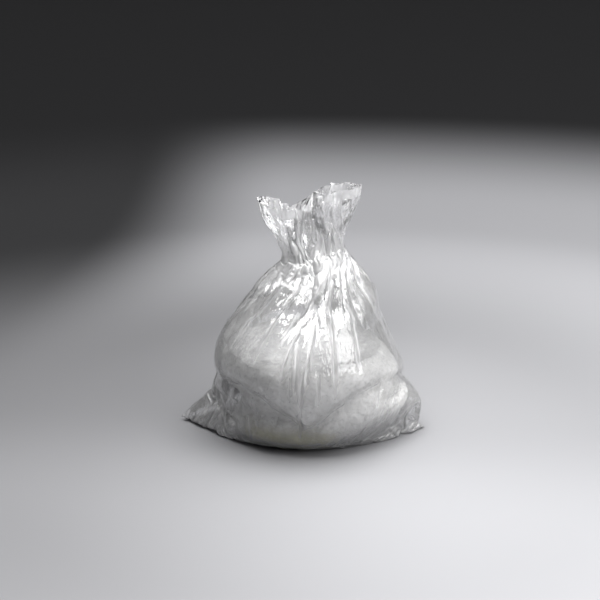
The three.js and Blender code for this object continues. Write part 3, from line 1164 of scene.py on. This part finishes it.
@dataclass(frozen=True)
class FilmFinish:
    """Thin clear film: mostly see-through, slightly milky, glossy, and whiter at folds, neck and hem.

    Attributes:
        length: Film length from the seam to the rim.
        colour: The milk in the film.
        haze: Share of the light that the milk stops where the film is flat.
        hem: Width of the hazier hem below the rim, in metres.
    """

    length: float
    colour: Colour = (0.89, 0.89, 0.895)
    haze: float = 0.18
    hem: float = 0.020

    def material(self) -> bpy.types.Material:
        """Builds the film's material.

        Its masks are places on the flat film in metres: along runs from the seam to the rim, and panel is the
        smooth strip on the front's right.
        """
        g = Graph("clear_film")
        flat = g.flat("flat")
        across = g.axis(flat, "X")
        along = g.axis(flat, "Y")
        crease = g.attribute("crease")
        lower = along.between(0.36, 0.30)
        belly = along.between(0.53, 0.43)
        upper = along.between(0.36, 0.56)
        neck = along.between(0.47, 0.54) * along.between(0.65, 0.58)
        mouth = along.between(0.57, 0.62)
        hem = along.between(self.length - self.hem - 0.0008, self.length - self.hem + 0.0008)
        panel = across.between(0.295, 0.305) * across.between(0.385, 0.375)
        crumple = g.cells(g.place(flat, (1.0, 0.36, 1.0)), 34.0)
        folds = g.ridges(g.place(flat, (1.0, 0.3, 1.0)), 24.0)
        creases = g.ridges(g.place(flat, (1.0, 0.45, 1.0)), 75.0)
        fine = g.cells(flat, 190.0)
        cloudy = g.noise(flat, 14.0, 3.0, 0.55)
        patchy = (0.35 + 1.3 * g.noise(flat, 9.0).between(0.38, 0.62)) * (1.0 - 0.6 * panel * upper)
        relief = crumple * (0.12 + 0.4 * upper) + folds * (0.45 + 1.4 * upper)
        relief = relief + creases * (0.34 + 0.5 * upper) + fine * 0.04
        relief = relief * patchy + fine * 0.10 * lower
        normal = g.bump(relief, 1.0, 0.0030)
        facing = g.node("ShaderNodeLayerWeight", {}, {"Blend": 0.5, "Normal": normal})
        edge = Value(g, facing.outputs["Facing"])
        haze = (self.haze + 0.08 * belly) * (0.8 + 0.4 * cloudy) + 0.30 * crease * (1.0 - 0.4 * mouth)
        haze = haze + 0.14 * hem + 0.15 * neck + 0.40 * edge ** 3.0 * (1.0 - 0.4 * mouth)
        film = g.node("ShaderNodeBsdfPrincipled", {}, {
            "Base Color": (*self.colour, 1), "Roughness": 0.12 + 0.14 * cloudy, "IOR": 1.5,
            "Specular IOR Level": 0.5, "Normal": normal})
        back = g.node("ShaderNodeBsdfTranslucent", {}, {"Color": (*self.colour, 1), "Normal": normal})
        milk = g.mix_shader(0.38, film, back)
        clear = g.node("ShaderNodeBsdfTransparent", {}, {"Color": (0.985, 0.985, 0.99, 1)})
        body = g.mix_shader(haze.held(), clear, milk)
        mirror = g.node("ShaderNodeBsdfGlossy", {}, {
            "Color": (1, 1, 1, 1), "Roughness": 0.05 + 0.08 * cloudy + 0.06 * lower, "Normal": normal})
        shine = Value(g, g.node("ShaderNodeFresnel", {}, {"IOR": 1.5, "Normal": normal}).outputs[0])
        return g.finished(g.mix_shader((1.5 * shine).held(), body, mirror))


@dataclass(frozen=True)
class FillingFinish:
    """Pale grey crumpled scraps of film and foam, speckled, olive in a strip near the base, with painted
    shade low down and on top.
    """

    pale: Colour = (0.83, 0.825, 0.81)
    grey: Colour = (0.75, 0.745, 0.73)
    olive: Colour = (0.26, 0.24, 0.07)

    def material(self) -> bpy.types.Material:
        """Builds the scraps' material."""
        g = Graph("crumpled_scraps")
        own = g.own()
        blotch = g.noise(own, 26.0, 3.0, 0.6)
        speck = g.cells(own, 170.0)
        facets = g.cells(own, 95.0)
        tone = g.mix(blotch.between(0.36, 0.66), self.grey, self.pale)
        tone = g.mix((speck.between(0.22, 0.05) * 0.55).held(), tone, (0.88, 0.88, 0.87))
        tone = g.mix((speck.between(0.62, 0.85) * 0.4).held(), tone, (0.34, 0.34, 0.34))
        # An olive strip low on the front of the heap, near the base.
        height = g.axis(own, "Z")
        front = 0.0 - g.axis(own, "Y")
        aside = g.axis(own, "X") + 0.008
        strip = height.between(0.072, 0.034) * front.between(0.06, 0.12)
        strip = strip * (aside * aside).between(0.012, 0.003)
        # Painted shade: the scraps darken towards the base, under the heap.
        tone = g.mix(height.between(0.085, 0.01) * 0.72, tone, (0.20, 0.20, 0.19))
        # Painted shade: the heap's top is darkened where the lamps above light it.
        tone = g.mix(height.between(0.166, 0.182) * 0.85, tone, (0.34, 0.34, 0.34))
        tone = g.mix((strip * 0.95).held(), tone, self.olive)
        relief = facets * 0.9 + g.noise(own, 140.0, 3.0, 0.6) * 0.7
        scraps = g.node("ShaderNodeBsdfPrincipled", {}, {
            "Base Color": tone, "Roughness": 0.38 + 0.3 * blotch, "Normal": g.bump(relief, 0.8, 0.003)})
        return g.finished(scraps)


@dataclass(frozen=True)
class BackdropFinish:
    """Matt grey backdrop with painted light and shade: lighter to the right, in front and far out on the
    floor, and dark where it rises.

    Attributes:
        floor: Its tone beside the bag, on the left, which painted light makes lighter to the right and in
            front.
        behind: Its tone far out on the floor, painted light, apart from the left, where painted shade makes
            it darker.
        high: Its tone up the wall, painted shade.
    """

    floor: float = 0.155
    behind: float = 0.64
    high: float = 0.035

    def material(self) -> bpy.types.Material:
        """Builds the backdrop's material."""
        g = Graph("backdrop")
        own = g.own()
        x, y, z = (g.axis(own, name) for name in ("X", "Y", "Z"))
        reach = (x * x + y * y) ** 0.5
        # Painted light and shade: lighter to the right and in front, much lighter far out, darker far out on
        # the left.
        floor = self.floor + 0.095 * x.between(-0.45, 0.35) + 0.05 * (0.0 - y).between(-0.05, 0.4)
        behind = self.behind * (1.0 - 0.90 * x.between(-0.28, -0.88))
        far = reach.between(0.60, 1.75)
        tone = floor + (behind - floor) * far
        # Painted shade: dark up the wall.
        tone = tone + (self.high - tone) * z.between(0.04, 0.31)
        colour = g.node("ShaderNodeCombineColor", {}, {
            "Red": tone * 0.985, "Green": tone * 0.985, "Blue": tone * 1.02})
        return g.finished(g.node("ShaderNodeBsdfPrincipled", {}, {
            "Base Color": colour.outputs[0], "Roughness": 0.75, "Specular IOR Level": 0.2}))


@dataclass(frozen=True)
class Lamp:
    """A soft panel light.

    Attributes:
        name: What it is.
        place: Its middle in metres.
        aim: The point that it faces.
        size: Its two sides in metres.
        watts: Its power.
    """

    name: str
    place: tuple[float, float, float]
    aim: tuple[float, float, float]
    size: tuple[float, float]
    watts: float

    def build(self) -> None:
        """Hangs the panel."""
        light = bpy.data.lights.new(self.name, "AREA")
        light.shape = "RECTANGLE"
        light.size, light.size_y = self.size
        light.energy = self.watts
        obj = bpy.data.objects.new(self.name, light)
        obj.location = self.place
        obj.rotation_euler = (Vector(self.aim) - Vector(self.place)).to_track_quat("-Z", "Y").to_euler()
        bpy.context.scene.collection.objects.link(obj)


@dataclass
class Studio:
    """Bowl-shaped grey backdrop, lamps and the camera at the photograph's angle.

    Attributes:
        finish: The backdrop's finish.
        lamps: The panel lights.
        azimuth: Camera's angle round the bag in degrees.
        elevation: Camera's angle above the horizon in degrees.
        distance: Camera's distance from the point that it faces.
        aim: That point.
        lens: Focal length on a sensor 36 mm wide.
        flat: Radius of the level floor.
        bend: Radius of its curve up into the wall.
        wall: Height of the wall's top.
        below: Depth of the backdrop below the bag's base.
        around: Points round the bowl.
        steps: Points along its floor, and as many along its curve.
    """

    finish: BackdropFinish
    lamps: tuple[Lamp, ...]
    azimuth: float = 6.0
    elevation: float = 17.0
    distance: float = 2.2
    aim: tuple[float, float, float] = (0.0, 0.033, 0.255)
    lens: float = 66.0
    flat: float = 1.75
    bend: float = 1.1
    wall: float = 2.6
    below: float = 0.0005
    around: int = 128
    steps: int = 24

    def camera(self) -> None:
        """Makes the camera and hands it to the scene."""
        around, up = math.radians(self.azimuth), math.radians(self.elevation)
        back = Vector((math.sin(around) * math.cos(up), -math.cos(around) * math.cos(up), math.sin(up)))
        data = bpy.data.cameras.new("camera")
        data.lens = self.lens
        data.sensor_width = 36.0
        data.shift_x = -0.005
        obj = bpy.data.objects.new("camera", data)
        obj.location = Vector(self.aim) + back * self.distance
        obj.rotation_euler = (-back).to_track_quat("-Z", "Y").to_euler()
        bpy.context.scene.collection.objects.link(obj)
        bpy.context.scene.camera = obj

    def backdrop(self) -> None:
        """Makes the bowl: floor to radius flat, a quarter circle of radius bend, and a straight wall."""
        turn = np.linspace(0, np.pi / 2, self.steps)
        reach = np.r_[np.linspace(0.02, self.flat, self.steps), self.flat + self.bend * np.sin(turn[1:]),
                      self.flat + self.bend]
        height = np.r_[np.zeros(self.steps), self.bend * (1 - np.cos(turn[1:])), self.wall] - self.below
        angle = np.linspace(0, TURN, self.around, endpoint=False)
        ring = np.stack([reach[:, None] * np.cos(angle), reach[:, None] * np.sin(angle),
                         np.broadcast_to(height[:, None], (len(height), self.around))], axis=-1)
        points = np.concatenate([ring.reshape(-1, 3), [[0, 0, -self.below]]])
        index = np.arange(len(reach) * self.around).reshape(-1, self.around)
        right = np.roll(index, -1, axis=1)
        quads = np.stack([index[:-1], right[:-1], right[1:], index[1:]], axis=-1)[..., ::-1].reshape(-1, 4)
        middle = np.stack([index[0], right[0], np.full(self.around, len(points) - 1)], axis=1)
        bowl = mesh_object("backdrop", points, quads, middle)
        bowl.data.materials.append(self.finish.material())

    def build(self) -> None:
        """Sets up the camera, backdrop, lamps and the air's faint light."""
        self.camera()
        self.backdrop()
        for lamp in self.lamps:
            lamp.build()
        scene = bpy.context.scene
        world = bpy.data.worlds.new("room")
        world.use_nodes = True
        air = world.node_tree.nodes["Background"]
        air.inputs[0].default_value = (0.85, 0.85, 0.87, 1)
        air.inputs[1].default_value = 0.30
        scene.world = world
        scene.cycles.transparent_max_bounces = 48
        scene.cycles.max_bounces = 16
        scene.view_settings.view_transform = "Standard"


def main() -> None:
    """Builds the bag in its studio."""
    logging.basicConfig(level=logging.INFO, format="%(message)s")
    cut = FilmCut()
    mould = Mould(cut, Pleats(7))
    studio = Studio(BackdropFinish(), (
        Lamp("overhead_panel", (0.16, -0.10, 1.55), (0.12, -0.12, 0.2), (1.4, 1.5), 65),
        Lamp("right_panel", (1.35, -0.75, 1.1), (0.1, 0.0, 0.25), (1.2, 1.3), 22),
        Lamp("left_panel", (-1.6, -0.3, 0.9), (0.0, 0.0, 0.2), (0.4, 0.9), 2)))
    studio.build()
    filling = LooseFilling(mould, FillingFinish()).build()
    LOG.info("scrap heap: %d faces", len(filling.data.polygons))
    film = FilmBag(cut, mould, FilmFinish(cut.length)).build()
    LOG.info("bag film: %d faces", len(film.data.polygons))


if __name__ == "__main__":
    main()
